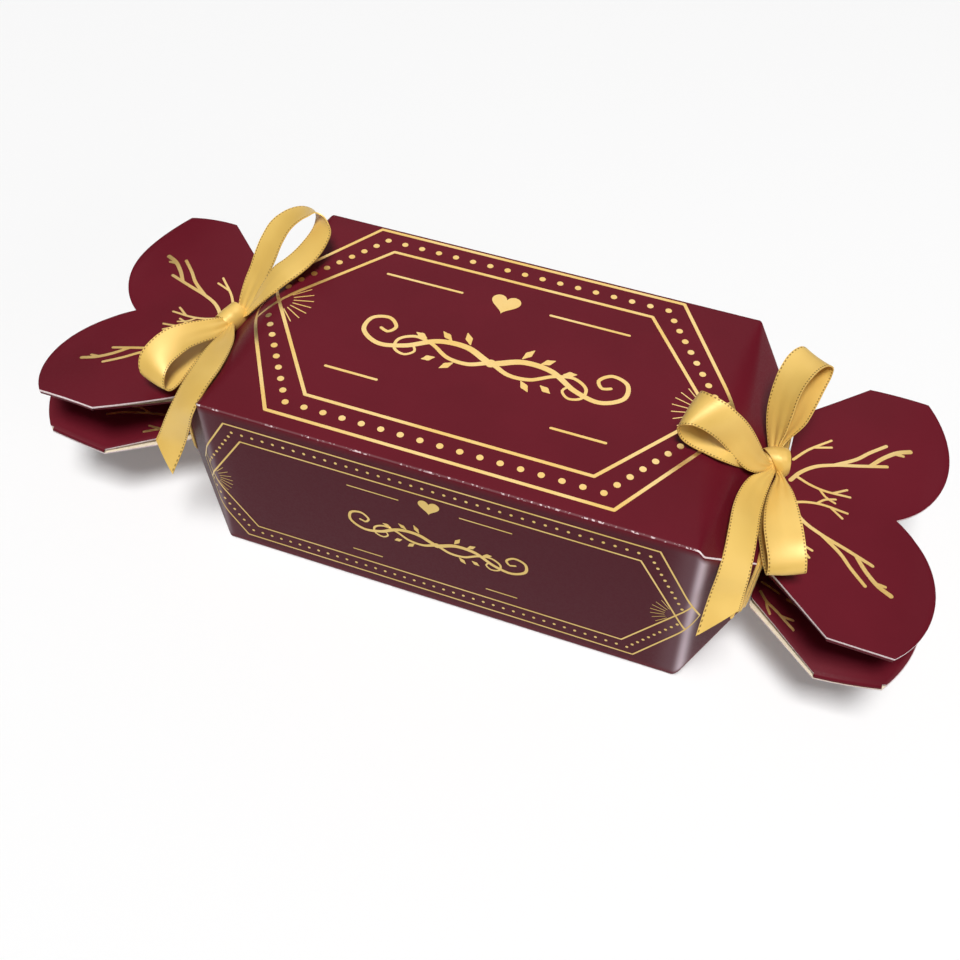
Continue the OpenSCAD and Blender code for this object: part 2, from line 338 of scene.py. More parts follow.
def gridSheet(name, columns, rows, place, uvPlace=None):
    # a grid whose points go to place(u, v), u and v from 0 to 1, in millimetres
    bpy.ops.object.select_all(action="DESELECT")
    bpy.ops.mesh.primitive_grid_add(x_subdivisions=columns, y_subdivisions=rows, size=2)
    obj = bpy.context.object
    obj.name = obj.data.name = name
    flat = (coords(obj)[:, :2] + 1) / 2
    setCoords(obj, place(flat[:, 0], flat[:, 1]) * mm)
    layer = obj.data.uv_layers[0]
    layer.name = "weave"
    if uvPlace is not None:
        corner = np.zeros(len(obj.data.loops), int)
        obj.data.loops.foreach_get("vertex_index", corner)
        uv = uvPlace(flat[:, 0], flat[:, 1])[corner]
        layer.data.foreach_set("uv", uv.ravel())
    return obj


def dress(obj, materials, body, nodes=()):
    obj.data.materials.clear()
    for mat in materials:
        obj.data.materials.append(mat)
    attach(obj, body)
    if nodes:
        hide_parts(*nodes)


def pieceName(node):
    first, *rest = node.split("_")
    return first + "".join(word.capitalize() for word in rest)


def bendLine(h, hn, bend, reach=(card["length"] / 2, card["length"] / 2)):
    # one side of the tube, which falls from h to hn at the neck: its height over x, and the point
    # at a distance along its surface; e is 0 in the middle of the panel and -1 and 1 at its long
    # edges, where the bend is tightest
    soft, tight = bend

    def shape(e):
        e = np.clip(e, -1, 1)
        r = tight + (soft - tight) * (1 - np.abs(e) ** card["bendPower"])
        end = (reach[0] + reach[1]) / 2 + (reach[1] - reach[0]) / 2 * e
        a = np.arctan2(h - hn, neckX - end)
        return r, a, end - r * np.tan(a / 2)

    def height(x, e=1.0):
        r, a, cx = shape(e)
        x = np.minimum(np.abs(x), neckX)
        g = np.arcsin(np.clip((x - cx) / r, 0, np.sin(a)))
        return h - r + r * np.cos(g) - np.maximum(x - cx - r * np.sin(a), 0) * np.tan(a)

    def along(s, e):
        r, a, cx = shape(e)
        t = np.abs(s)
        g = np.clip((t - cx) / r, 0, a)
        over = np.maximum(t - cx - r * a, 0)
        x = np.minimum(t, cx) + r * np.sin(g) + over * np.cos(a)
        z = h - r + r * np.cos(g) - over * np.sin(a)
        return np.sign(s) * x, z, np.sign(s) * g

    return height, along


boxHalfW, neckHalfW, neckHalfH = (card[key] / 2 for key in ("width", "neckW", "neckH"))
topHeight, topAlong = bendLine(card["height"] - card["neckZ"], neckHalfH, card["lidBend"])
lowHeight, lowAlong = bendLine(card["neckZ"], neckHalfH, card["baseBend"])
sideHeight, sideAlong = bendLine(boxHalfW, neckHalfW, card["sideBend"])
# at the right end the front panel bends in a little later, and so does the bottom in front
lateHeight, lateAlong = bendLine(boxHalfW, neckHalfW, card["sideBend"], card["frontReach"])
lateLow, lateLowAlong = bendLine(card["neckZ"], neckHalfH, card["baseBend"], card["baseReach"])


def halfWidth(x, sign, e):
    return np.where((sign < 0) & (x > 0), lateHeight(x, e), sideHeight(x, e))


def lowDrop(x, e):
    return np.where(x > 0, lateLow(x, e), lowHeight(x, e))


# each of these puts a print on its panel: s along the box, t across the panel, lift off the card
def onTop(s, t, lift):
    x, z, g = topAlong(s, t * 2 / card["width"])
    return np.stack([x + lift * np.sin(g), t, card["neckZ"] + z + lift * np.cos(g)], -1)


def onBottom(s, t, lift):
    usual, late = (along(s, t * 2 / card["width"]) for along in (lowAlong, lateLowAlong))
    x, z, g = (np.where(s > 0, b, a) for a, b in zip(usual, late))
    return np.stack([x + lift * np.sin(g), t, card["neckZ"] - z - lift * np.cos(g)], -1)


def onFront(s, t, lift):
    usual, late = (along(s, -t * 2 / card["height"]) for along in (sideAlong, lateAlong))
    x, y, g = (np.where(s > 0, b, a) for a, b in zip(usual, late))
    return np.stack([x + lift * np.sin(g), -y - lift * np.cos(g), card["height"] / 2 + t], -1)


def onBack(s, t, lift):
    x, y, g = sideAlong(s, t * 2 / card["height"])
    return np.stack([x + lift * np.sin(g), y + lift * np.cos(g), card["height"] / 2 + t], -1)


# a station is from x to x in so many steps; the painted highlight along the narrow panels' bends is
# given by its place and width along x, and its share
sleeve = {
    "cornerSteps": 6, "faceSteps": 28, "cutFrom": 47.6, "cutFold": 0.6, "seam": 0.01, "smooth": 50,
    "rubAt": (48.1, 0.85), "paintedHighlightWide": (46.6, 3.0, 0.13), "paintedHighlightLess": 0.3,
    "stations": ((0, 42, 8), (42, 47, 12), (47, 53, 44), (53, 55, 6), (55, 60, 6)),
}
around = 4 * (sleeve["cornerSteps"] + sleeve["faceSteps"])


def tubeSection(x, share, lift=0.0, r=card["foldR"]):
    # points of the tube's section at x, with what the card's finish reads there: fold, the painted
    # highlight on the narrow panels' bends, and the mask of the narrow panels, which are painted in
    # shade; share 0 to 1 runs round it, from the lower back corner
    n, m = sleeve["cornerSteps"], sleeve["faceSteps"]
    k = np.rint(share * around).astype(int) % around
    side, step = k // (n + m), k % (n + m)
    signY = np.choose(side, [1, 1, -1, -1])
    signZ = np.choose(side, [-1, 1, 1, -1])
    nextY = np.choose(side, [1, -1, -1, 1])
    nextZ = np.choose(side, [1, 1, -1, -1])
    angle = np.radians(np.choose(side, [-90, 0, 90, 180]) + 90 * np.minimum(step, n) / n)
    top = card["neckZ"] + topHeight(x) + lift
    cy = signY * (halfWidth(x, signY, -signZ) + lift - r)
    cz = np.where(signZ > 0, top - r, card["neckZ"] - lowDrop(x, signY) - lift + r)
    ny = nextY * (halfWidth(x, nextY, -nextZ) + lift - r)
    nz = np.where(nextZ > 0, top - r, card["neckZ"] - lowDrop(x, nextY) - lift + r)
    f = np.maximum(step - n, 0) / m
    y = cy + r * np.cos(angle) + f * (ny - cy)
    z = cz + r * np.sin(angle) + f * (nz - cz)
    # between its long edges each panel bends more softly than at them
    flat, e = step > n, 2 * f - 1
    y = np.where(flat & (side == 0), halfWidth(x, 1, e) + lift, y)
    y = np.where(flat & (side == 2), -halfWidth(x, -1, e) - lift, y)
    z = np.where(flat & (side == 1), card["neckZ"] + topHeight(x, e) + lift, z)
    z = np.where(flat & (side == 3), card["neckZ"] - lowDrop(x, e) - lift, z)
    fold = np.where(step <= n, 1 - np.abs(step - n / 2) / (n / 2), 0)
    # a painted highlight lies pale along the bends of the narrow panels, strongest on the front one
    # at the right
    (at, width), (wideAt, wideWidth, wideShare) = sleeve["rubAt"], sleeve["paintedHighlightWide"]
    late = (side == 2) & (x > 0)
    first, last = card["frontReach"]
    off = np.abs(x) - np.where(late, first + (last - first) * f - card["length"] / 2, 0)
    rub = np.exp(-((off - at) / width) ** 2)
    rub = rub + wideShare * np.exp(-((off - wideAt) / wideWidth) ** 2)
    # the front and back panels, which take the painted shade and the painted highlight
    narrow = flat & (side % 2 == 0)
    rub = np.where(narrow, rub * np.where(late, 1, sleeve["paintedHighlightLess"]), 0)
    return y, z, fold, rub, np.where(narrow, 1.0, 0.0)


def makeSleeve():
    half = [np.linspace(a, b, n, endpoint=False) for a, b, n in sleeve["stations"]]
    xs = np.concatenate(half + [[neckX]])
    xs = np.concatenate([-xs[:0:-1], xs])
    marks = {}

    def place(u, v):
        x = xs[np.rint(u * (len(xs) - 1)).astype(int)]
        y, z, marks["fold"], marks["rub"], marks["narrow"] = tubeSection(x, v)
        return np.stack([x, y, z], -1)

    obj = gridSheet("cardSleeve", len(xs) - 1, around, place)
    for key, value in marks.items():
        obj.data.attributes.new(key, "FLOAT", "POINT").data.foreach_set("value", value)
    closeSeams(obj, sleeve["seam"])
    dress(obj, cardSet, "box", ["top_panel", "bottom_panel", "front_panel", "back_panel"])
    # along the tapers the panels meet at cut edges, and the white core shows there
    fold = np.zeros(len(obj.data.vertices))
    obj.data.attributes["fold"].data.foreach_get("value", fold)
    for face in obj.data.polygons:
        tapered = abs(face.center.x) > sleeve["cutFrom"] * mm
        if tapered and min(fold[i] for i in face.vertices) > sleeve["cutFold"]:
            face.material_index = coreSlot
    applyModifier(
        obj, "SOLIDIFY", thickness=card["thick"] * mm, offset=-1, use_even_offset=True,
        material_offset=innerSlot, material_offset_rim=coreSlot,
    )
    smooth(obj, sleeve["smooth"])


makeSleeve()
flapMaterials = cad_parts["glue_flap"].data.materials
for i in range(len(flapMaterials)):
    flapMaterials[i] = cardInner
print("tube made")

wing = {
    "shoulder": 13, "side": 12, "half": 31, "neckHalf": 20,
    "notch": 2.8, "lobe": 0.66, "lobeLeast": 0.52,
    "creaseX": 60.55, "topZ": 28.75, "bottomZ": 15.25, "topTilt": 1.5, "bottomTilt": 11,
    "bow": 1.26, "bowRun": 22, "flatHalf": 6, "curve": 1.5, "past": 1.2,
    "columns": 26, "rows": 96, "rowSpread": 0.9, "extra": {"top": 0, "bottom": 1.5},
}
wingLong = wing["shoulder"] + wing["side"]
# pressed is how much of their drawn angle the gussets keep: the lower ones lie flatter, which
# leaves room for the wings to close
gusset = {
    "width": 18.5, "start": 0.3, "neckHalf": 7, "gap": 0.6, "drop": 0.8, "inset": 0.45,
    "trim": {"top": 0.2, "bottom": -0.5}, "pressed": {"top": 0.98, "bottom": 0.45},
    "columns": 16, "rows": 30,
}


def lobeCircle():
    # middle and radius of a lobe, whose edge runs from the notch at y = 0 to the straight side
    p, q = np.array([wingLong - wing["notch"], 0.0]), np.array([wingLong, wing["half"]])
    d = q - p
    chord = np.hypot(*d)
    r = max(wing["lobe"] * wing["half"], wing["lobeLeast"] * chord)
    off = math.sqrt(r * r - chord * chord / 4) / chord
    return (p + q) / 2 + off * np.array([-d[1], d[0]]), r


lobeAt, lobeR = lobeCircle()
tiltRise = math.tan(math.radians(wing["topTilt"])) - math.tan(math.radians(wing["bottomTilt"]))
wingGap = wing["topZ"] - wing["bottomZ"] + (lobeAt[0] + lobeR) * tiltRise
gussetAngle = math.asin(
    (wingGap / 2 - gusset["gap"] - gusset["drop"] - card["thick"] / 2) / gusset["width"])


def wingEnd(y, trim=0.0):
    return lobeAt[0] + np.sqrt(np.maximum((lobeR - trim) ** 2 - (y - lobeAt[1]) ** 2, 0))


def gussetEnd(q, level):
    return wingEnd(q + wing["half"] - gusset["width"], gusset["trim"][level])


# how each wing stands off its drawn plane: rise of its near and its far side, each at the shoulder
# and at the end of the straight side, and of the middle of its end
stand = {
    (-1, "top"): ((2.3, 2.6), (2.4, 0.8), 0.0), (1, "top"): ((-1.0, -1.7), (1.4, 0.9), -0.2),
    (-1, "bottom"): ((-1.2, -1.2), (0.0, 0.0), 0.0), (1, "bottom"): ((-3.5, -3.2), (2.6, 3.6), 0.6),
}
# how far each bottom wing is turned in its plane, so that its far lobe reaches out less
turned = {(-1, "bottom"): 0.045, (1, "bottom"): 0.105}


def standOff(side, level, x, y):
    near, far, middle = stand[side, level]
    mid, flat = wing["shoulder"], wing["flatHalf"]

    def rise(at):
        curl = (at[1] / wingLong - at[0] / mid) / (wingLong - mid)
        return x * (at[0] / mid - mid * curl) + x * x * curl

    share = np.clip((np.abs(y) - flat) / (wing["half"] - flat), 0, 1) ** wing["curve"]
    inner = middle * np.clip(x / wingLong, 0, wing["past"]) * (1 - share)
    return inner + share * np.where(y < 0, rise(near), rise(far))


def offCrease(side, level, x, y, rise):
    # x out from a wing's crease, y across and rise above its tilted plane
    tilt = math.radians(wing[level + "Tilt"])
    turn = turned.get((side, level), 0) * (y + wing["half"]) * x / wingLong
    out = wing["creaseX"] + x * math.cos(tilt) - rise * math.sin(tilt) - turn
    z = wing[level + "Z"] + x * math.sin(tilt) + rise * math.cos(tilt)
    return np.stack([side * out, y + 0 * x, z + standOff(side, level, x, y)], -1)


def wingPlace(side, level, x, y, h):
    # h off the middle of the card towards its printed face
    bow = 0
    if level == "top":
        run = np.clip(x / wing["bowRun"], 0, wing["past"]) ** wing["curve"]
        bow = wing["bow"] * (1 - (y / wing["half"]) ** 2) * run
    return offCrease(side, level, x, y, h * upward[level] - bow)


def gussetPlace(side, level, front, x, q, h):
    # q from the inner fold at 0 to the fold along the wing; h towards the printed face
    a, back = gussetAngle * gusset["pressed"][level], gusset["width"] - q
    y = wing["half"] - gusset["inset"] - back * math.cos(a) + h * math.sin(a)
    rise = (-gusset["drop"] - back * math.sin(a) - h * math.cos(a)) * upward[level]
    return offCrease(side, level, x, front * y, rise)


def wingNode(side, level):
    return f"{hands[side]}_{level}_wing"


def gussetNode(side, level, front):
    return f"{hands[side]}_{faces[front]}_{halves[level]}_gusset"


def finishCard(obj, up, node, rim):
    faceUp(obj, (0, 0, up))
    dress(obj, cardSet, node, [node])
    applyModifier(
        obj, "SOLIDIFY", thickness=card["thick"] * mm, offset=-1,
        material_offset=innerSlot, material_offset_rim=rim,
    )
    applyModifier(
        obj, "BEVEL", width=card["bevel"] * mm, segments=card["bevelSteps"],
        limit_method="ANGLE", angle_limit=math.radians(card["bevelAngle"]),
    )
    smooth(obj, card["smooth"])


def makeWing(side, level):
    extra = wing["extra"][level]
    slope = (wing["shoulder"] + extra) / (wing["half"] - wing["neckHalf"])

    def place(u, v):
        y = np.sign(v - 0.5) * wing["half"] * np.abs(2 * v - 1) ** wing["rowSpread"]
        x0 = np.maximum(np.abs(y) - wing["neckHalf"], 0) * slope
        x = x0 + u * (wingEnd(np.abs(y)) + extra - x0)
        return wingPlace(side, level, x, y, card["thick"] / 2)

    node = wingNode(side, level)
    obj = gridSheet(pieceName(node), wing["columns"], wing["rows"], place)
    finishCard(obj, upward[level], node, coreSlot)


def makeGusset(side, level, front):
    extra = wing["extra"][level]
    slope = (wing["shoulder"] + extra - gusset["start"]) / (gusset["width"] - gusset["neckHalf"])

    def place(u, v):
        q = gusset["width"] * v
        x0 = gusset["start"] + np.maximum(q - gusset["neckHalf"], 0) * slope
        x = x0 + u * (gussetEnd(q, level) + extra - x0)
        return gussetPlace(side, level, front, x, q, card["thick"] / 2)

    node = gussetNode(side, level, front)
    obj = gridSheet(pieceName(node), gusset["columns"], gusset["rows"], place)
    finishCard(obj, -upward[level], node, printSlot if level == "top" else coreSlot)


# the fold between a wing's straight side and its gusset, from the wing's cut edge to the gusset
foldStrip = {
    "path": ((31.03, -0.24), (31.05, -0.6), (30.98, -0.9), (30.78, -1.06), (30.4, -1.12)),
    "inset": 0.1, "thick": 0.1, "columns": 16, "rows": 8, "smooth": 50,
}


def makeFold(side, level, front):
    path = np.array(foldStrip["path"])
    share = np.linspace(0, 1, len(path))
    start = wing["shoulder"] + wing["extra"][level] + foldStrip["inset"]

    def place(u, v):
        x = start + u * (wing["side"] - 2 * foldStrip["inset"])
        y, h = (np.interp(v, share, path[:, i]) for i in (0, 1))
        return wingPlace(side, level, x, front * y, h)

    name = hands[side] + level.capitalize() + ("Near" if front < 0 else "Far") + "Fold"
    obj = gridSheet(name, foldStrip["columns"], foldStrip["rows"], place)
    faceUp(obj, (0, front, 0))
    dress(obj, [cardPrint], wingNode(side, level))
    applyModifier(obj, "SOLIDIFY", thickness=foldStrip["thick"] * mm, offset=-1)
    smooth(obj, foldStrip["smooth"])


for side in hands:
    for level in upward:
        makeWing(side, level)
        for front in faces:
            makeGusset(side, level, front)
            makeFold(side, level, front)
print("wings and gussets made")

# stack is how much higher each shape of a print lies than the one before it, in turns of stackOf
printLine = {
    "lift": 0.045, "thick": 0.04, "stack": 0.0006, "stackOf": 40, "step": 1.2, "twigStep": 0.7,
    "capSteps": 7, "dotSides": 16, "heartSides": 48, "ruleShare": 0.8, "tipRoom": 1.8,
}


def curveThrough(points, step):
    # a smooth line through the points
    p = np.asarray(points, float)
    if len(p) < 3:
        n = max(2, int(np.linalg.norm(p[-1] - p[0]) / step) + 1)
        return p[0] + (p[-1] - p[0]) * np.linspace(0, 1, n)[:, None]
    knots = np.concatenate([[0], np.cumsum(np.linalg.norm(np.diff(p, axis=0), axis=1) ** 0.5)])
    grown = np.concatenate([[2 * p[0] - p[1]], p, [2 * p[-1] - p[-2]]])
    gaps = np.concatenate([[knots[1] - knots[0]], np.diff(knots), [knots[-1] - knots[-2]]])
    out = []
    for i in range(len(p) - 1):
        p0, p1, p2, p3 = grown[i:i + 4]
        d0, d1, d2 = gaps[i:i + 3]
        m1 = ((p1 - p0) / d0 - (p2 - p0) / (d0 + d1) + (p2 - p1) / d1) * d1
        m2 = ((p2 - p1) / d1 - (p3 - p1) / (d1 + d2) + (p3 - p2) / d2) * d1
        n = max(2, int(np.linalg.norm(p2 - p1) / step) + 1)
        t = np.linspace(0, 1, n, endpoint=i == len(p) - 2)[:, None]
        ends = (2 * t**3 - 3 * t**2 + 1) * p1 + (3 * t**2 - 2 * t**3) * p2
        out.append(ends + (t**3 - 2 * t**2 + t) * m1 + (t**3 - t**2) * m2)
    return np.concatenate(out)


def stroke(points, width, tip=None, step=printLine["step"]):
    # a flat line of that width, with round ends; tip is the width at the far end
    line = curveThrough(points, step)
    tangent = np.gradient(line, axis=0)
    tangent /= np.linalg.norm(tangent, axis=1)[:, None]
    normal = np.stack([-tangent[:, 1], tangent[:, 0]], -1)
    wide = np.linspace(width, width if tip is None else tip, len(line))[:, None] / 2
    n = len(line)
    verts = list(line + normal * wide) + list(line - normal * wide)
    polys = [(n + i, n + i + 1, i + 1, i) for i in range(n - 1)]
    for end, sign in ((0, -1), (n - 1, 1)):
        first = len(verts)
        for angle in np.radians(np.linspace(90, -90, printLine["capSteps"])[1:-1]):
            way = sign * tangent[end] * math.cos(angle) + normal[end] * math.sin(angle)
            verts.append(line[end] + wide[end] * way)
        ring = [end] + list(range(first, len(verts))) + [n + end]
        polys.append(tuple(ring[::-1]) if sign > 0 else tuple(ring))
    return np.array(verts), polys


def dot(x, y, r):
    sides = printLine["dotSides"]
    a = np.linspace(0, 2 * math.pi, sides, endpoint=False)
    return np.stack([x + r * np.cos(a), y + r * np.sin(a)], -1), [tuple(range(sides))]


def heart(x, y, w):
    # the usual heart curve, which is 32 wide as it is written
    n = printLine["heartSides"]
    a = np.linspace(0, 2 * math.pi, n, endpoint=False)[::-1]
    px = 16 * np.sin(a) ** 3
    py = 13 * np.cos(a) - 5 * np.cos(2 * a) - 2 * np.cos(3 * a) - np.cos(4 * a)
    ring = np.stack([x + px * w / 32, y + py * w / 32], -1)
    return np.concatenate([[[x, y]], ring]), [(0, 1 + i, 1 + (i + 1) % n) for i in range(n)]


def foilPiece(name, shapes, place, body, mat=foil):
    # flat shapes laid on a card surface as one thin piece
    polys, first = [], 0
    for points, parts in shapes:
        polys += [tuple(first + i for i in poly) for poly in parts]
        first += len(points)
    flat = np.concatenate([points for points, parts in shapes])
    # each shape lies a hair higher than the one before it, so crossing lines don't share a face
    rise = np.concatenate([
        np.full(len(points), (i % printLine["stackOf"]) * printLine["stack"])
        for i, (points, parts) in enumerate(shapes)
    ])
    spots = place(flat[:, 0], flat[:, 1], printLine["lift"] + rise) * mm
    mesh = bpy.data.meshes.new(name)
    mesh.from_pydata([tuple(p) for p in spots], [], polys)
    obj = bpy.data.objects.new(name, mesh)
    bpy.context.scene.collection.objects.link(obj)
    # every face of the print points out of the card
    a, b, c = (flat[[poly[i] for poly in polys]] for i in range(3))
    sign = (b - a)[:, 0] * (c - b)[:, 1] - (b - a)[:, 1] * (c - b)[:, 0]
    if (sign < 0).any() and (sign > 0).any():
        for face, turn in zip(mesh.polygons, sign):
            if turn < 0:
                face.flip()
    mesh.update()
    middle = flat[list(polys[0])].mean(0)
    faceUp(obj, place(middle[:1], middle[1:], 1.0)[0] - place(middle[:1], middle[1:], 0.0)[0])
    applyModifier(obj, "SOLIDIFY", thickness=printLine["thick"] * mm, offset=-1)
    dress(obj, [mat], body)


def hexagon(x, y, tip):
    return [(-x, y), (x, y), (tip, 0), (x, -y), (-x, -y), (-tip, 0), (-x, y)]


def crossing(p, q, r, s):
    # where the line through p and q meets the one through r and s
    p, q, r, s = (np.array(v, float) for v in (p, q, r, s))
    t = np.linalg.solve(np.array([q - p, r - s]).T, r - p)[0]
    return tuple(p + t * (q - p))


def borderShapes(b):
    # double hexagon with a row of dots between its lines and rays at the inner points
    (ox, oy, ot), (ix, iy, it), w = b["outer"], b["inner"], b["line"]
    ring = hexagon(ox, oy, ot)
    shapes = [stroke(ring[i:i + 2], w) for i in range(len(ring) - 1)]
    farX, farY = crossing((ix, iy), (it, 0), (ox, -oy), (ot, 0))
    for sign in (1, -1):
        shapes.append(stroke([(-ix, sign * iy), (ix, sign * iy)], w))
        for end in (1, -1):
            shapes.append(stroke([(end * ix, sign * iy), (end * farX, sign * farY)], w))
    mx, my, mt = ((i + o) / 2 for i, o in zip(b["inner"], b["outer"]))
    tipShares = np.arange(1, b["dotsShort"] + 1) / (b["dotsShort"] + printLine["tipRoom"])
    for sign in (1, -1):
        for x in np.linspace(-mx, mx, b["dotsLong"]):
            shapes.append(dot(x, sign * my, b["dot"] / 2))
        for end in (1, -1):
            for t in tipShares:
                shapes.append(dot(end * (mx + (mt - mx) * t), sign * my * (1 - t), b["dot"] / 2))
    for end in (1, -1):
        at = np.array([end * it, 0])
        for angle in np.radians(np.linspace(-b["raySpread"], b["raySpread"], b["rays"])):
            way = np.array([-end * math.cos(angle), math.sin(angle)])
            shapes.append(stroke([at + way * b["rayFrom"], at + way * b["rayTo"]], b["thin"]))
    return [(points + np.array(b["shift"]), polys) for points, polys in shapes]


# an arm is its side and size, a leaf its foot, its lean in degrees and its length
scroll = {
    "run": (
        (1.2, 0.4), (6, 2.6), (12, 2.2), (18, -1.4), (23.5, -2.6), (27.6, 0.2),
        (27.2, 4.0), (23.8, 5.2), (21.6, 3.0), (22.8, 1.2), (24.4, 1.8),
    ),
    "arms": ((1, 1.0), (-1, 0.72)), "widths": (1.5, 0.7), "step": 0.6, "down": 1.6, "boss": 1.1,
    "leaves": (
        (5.6, 3.6, 62, 3.4), (9.6, 3.4, 38, 3.0), (14.6, 2.2, 20, 2.6),
        (7.2, -2.6, -48, 3.0), (11.2, -2.4, -30, 2.6),
    ),
    "leafWidths": (0.3, 1.5, 0.2), "leafStep": 0.5,
}


def scrollShapes(b):
    # plain mirrored scroll with leaves for the middle of a panel
    shapes, k = [], b["scroll"]

    def spot(x, y, sx=1):
        return sx * x * k, (y - scroll["down"]) * k + b["scrollY"]

    for sx in (1, -1):
        for sy, grow in scroll["arms"]:
            run = [spot(x * grow, sy * y * grow, sx) for x, y in scroll["run"]]
            w0, w1 = (w * k * grow for w in scroll["widths"])
            shapes.append(stroke(run, w0, w1, step=scroll["step"]))
        for x, y, lean, size in scroll["leaves"]:
            a = math.radians(lean)
            reach = [size * share for share in (0, 0.5, 1)]
            line = [spot(x + d * math.cos(a), y + d * math.sin(a), sx) for d in reach]
            for i in (0, 1):
                w0, w1 = (w * k for w in scroll["leafWidths"][i:i + 2])
                shapes.append(stroke(line[i:i + 2], w0, w1, step=scroll["leafStep"]))
    shapes.append(dot(*spot(0, 0), scroll["boss"] * k))
    return shapes


def rules(b):
    width = b["line"] * printLine["ruleShare"]
    return [stroke([(x0, y), (x1, y)], width) for x0, x1, y in b["rules"]]


# outer and inner are half the length of the straight line, half the height and the tip of a hexagon
topPrint = {
    "outer": (33.85, 28.65, 51.4), "inner": (28.5, 22.5, 45.0), "shift": (-1.8, 1.1),
    "line": 0.72, "thin": 0.22, "dot": 1.35, "dotsLong": 17, "dotsShort": 8,
    "rays": 7, "rayFrom": 3.2, "rayTo": 7.2, "raySpread": 45, "scroll": 0.98, "scrollY": 0.6,
    "rules": ((-28.9, -12.3, 16.5), (7.0, 23.6, 16.5), (-29.9, -19.2, -13.0), (16.0, 26.6, -13.0)),
    "heart": (-2.8, 16.6, 6.2),
}
frontPrint = {
    "outer": (42.5, 17.75, 53.0), "inner": (39.6, 13.6, 48.2), "shift": (-0.7, 0.0),
    "line": 0.34, "thin": 0.11, "dot": 0.62, "dotsLong": 39, "dotsShort": 9,
    "rays": 7, "rayFrom": 2.1, "rayTo": 4.8, "raySpread": 48, "scroll": 0.66, "scrollY": 0.2,
    "rules": ((-18.2, -7.8, 10.1), (4.6, 14.8, 10.2), (-18.2, -11.9, -10.6), (10.6, 17.0, -10.5)),
    "heart": (-1.6, 10.6, 4.3),
}

# the front and back prints take the darker foil, which is painted shade
for name, b, place, mat in (
    ("topPrint", topPrint, onTop, foil), ("bottomPrint", topPrint, onBottom, foil),
    ("frontPrint", frontPrint, onFront, paintedShadeFoil), ("backPrint", frontPrint, onBack, paintedShadeFoil),
):
    shapes = borderShapes(b) + rules(b) + [heart(*b["heart"])] + scrollShapes(b)
    foilPiece(name, shapes, place, "box", mat)

# bare twigs on the wings, and smaller ones on the gussets: points, and width at foot and tip; those
# on the wings are drawn for y above 0 and mirrored
twigs = (
    ([(0.7, 2.1), (2.2, 4.7), (4.8, 7.3), (8.4, 9.1), (13.1, 10.7), (18.4, 12.6)], 0.85, 0.7),
    ([(8.4, 9.1), (12.4, 12.2), (14.6, 14.7), (17.6, 17.6)], 0.8, 0.7),
    ([(15.2, 11.5), (17.5, 14.5), (20.0, 16.8), (22.4, 18.0)], 0.8, 0.95),
    ([(19.4, 16.3), (21.2, 16.4)], 0.6, 0.6),
    ([(0.4, 7.6), (2.8, 11.1), (6.9, 15.2)], 0.6, 0.5), ([(3.9, 12.2), (7.2, 13.4)], 0.5, 0.5),
    ([(1.8, 3.4), (4.5, 2.3), (7.5, 1.8), (12.4, 2.1)], 0.6, 0.5),
    ([(9.0, 1.8), (11.6, 3.7)], 0.5, 0.5), ([(6.4, 1.9), (7.9, 0.3), (9.8, -0.5)], 0.5, 0.45),
)
gussetTwigs = (
    ([(1.9, 5.2), (3.4, 7.0), (5.6, 8.5), (9.6, 11.5)], 0.6, 0.5),
    ([(3.4, 7.0), (3.9, 8.4), (4.6, 9.5)], 0.55, 0.5), ([(6.9, 9.4), (9.3, 9.7)], 0.5, 0.45),
    ([(7.4, 5.7), (13.0, 7.7), (16.0, 9.1), (18.7, 11.0)], 0.6, 0.5),
    ([(11.1, 6.7), (13.6, 6.5), (15.1, 7.0)], 0.5, 0.45),
    ([(1.8, 3.1), (3.5, 3.8), (5.7, 4.9)], 0.5, 0.45),
)
twigOut = {-1: 1.7, 1: 0.5}  # how far out from the crease they start at each end
twigStep = printLine["twigStep"]

for side in hands:
    for level in upward:
        shapes = [
            stroke([(x + twigOut[side], sign * y) for x, y in points], w0, w1, step=twigStep)
            for points, w0, w1 in twigs for sign in (1, -1)
        ]
        node = wingNode(side, level)
        foilPiece(
            pieceName(node.replace("wing", "twigs")), shapes,
            lambda x, y, h: wingPlace(side, level, x, y, card["thick"] / 2 + h), node,
        )
        for front in faces:
            shapes = [stroke(points, w0, w1, step=twigStep) for points, w0, w1 in gussetTwigs]
            node = gussetNode(side, level, front)
            foilPiece(
                pieceName(node.replace("gusset", "twigs")), shapes,
                lambda x, q, h: gussetPlace(side, level, front, x, q, card["thick"] / 2 + h), node,
            )
print("print made")

# pleats are waves across the ribbon that fade out over pleatRun from its knot
ribbon = {
    "thick": 0.26, "step": 0.55, "across": 14, "crown": 0.22, "underCrown": 0.05, "crownLost": 0.5,
    "pleat": 0.24, "pleatRun": 5.0, "pleatTurns": 2.6, "pleatThin": 0.3, "smooth": 60,
}
